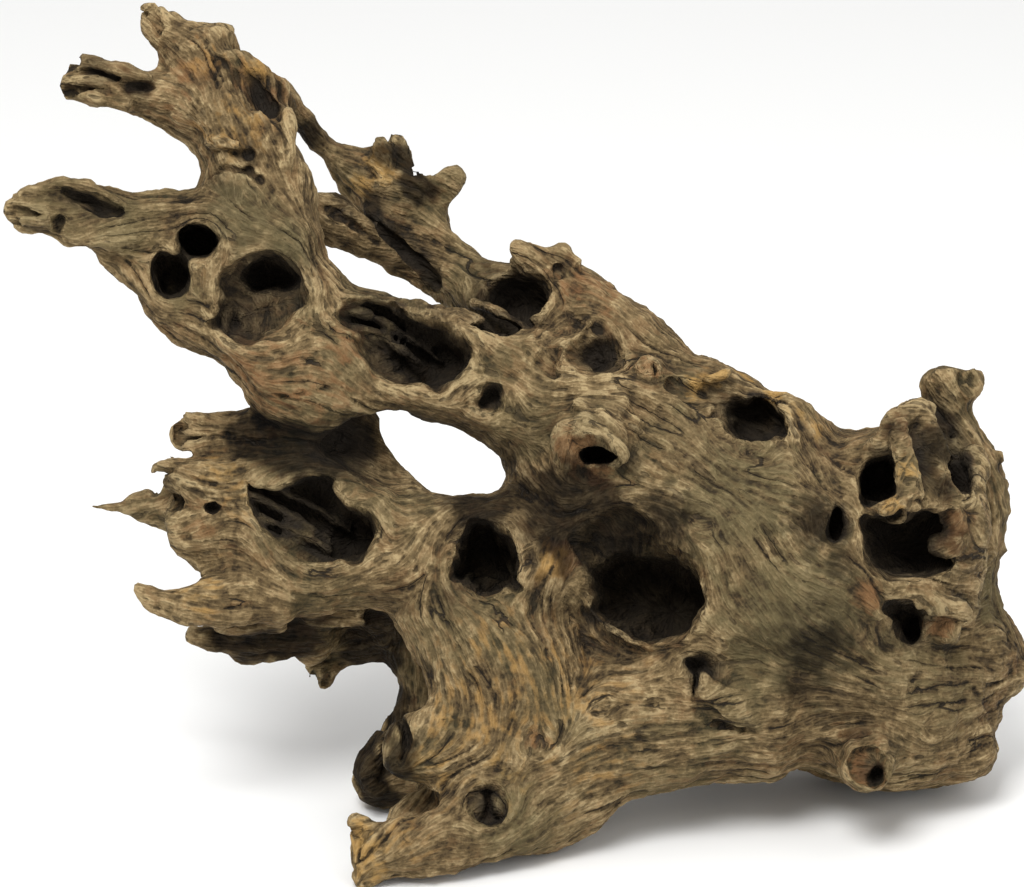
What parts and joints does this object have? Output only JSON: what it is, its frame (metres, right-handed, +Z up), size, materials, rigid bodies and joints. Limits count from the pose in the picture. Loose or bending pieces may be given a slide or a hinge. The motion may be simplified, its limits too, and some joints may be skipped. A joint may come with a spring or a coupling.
{
  "type": "piece of driftwood",
  "caption": "Weathered root of driftwood: a heavy hollowed crown with limbs that fan out to one side and end in torn points. Stands by itself as decor or in a tank.",
  "frame": {"origin": "middle of the bounding box, on the ground it stands on", "axes": "+X towards the heavy crown, -Y towards the viewer of the front, +Z up"},
  "size_m": [0.5105, 0.2528, 0.391],
  "materials": {
    "weathered_wood": "dry, grey-brown, grooved along the grain, near-black inside the hollows"
  },
  "bodies": {
    "root": {"driftwood": "weathered_wood"}
  },
  "joints": []
}
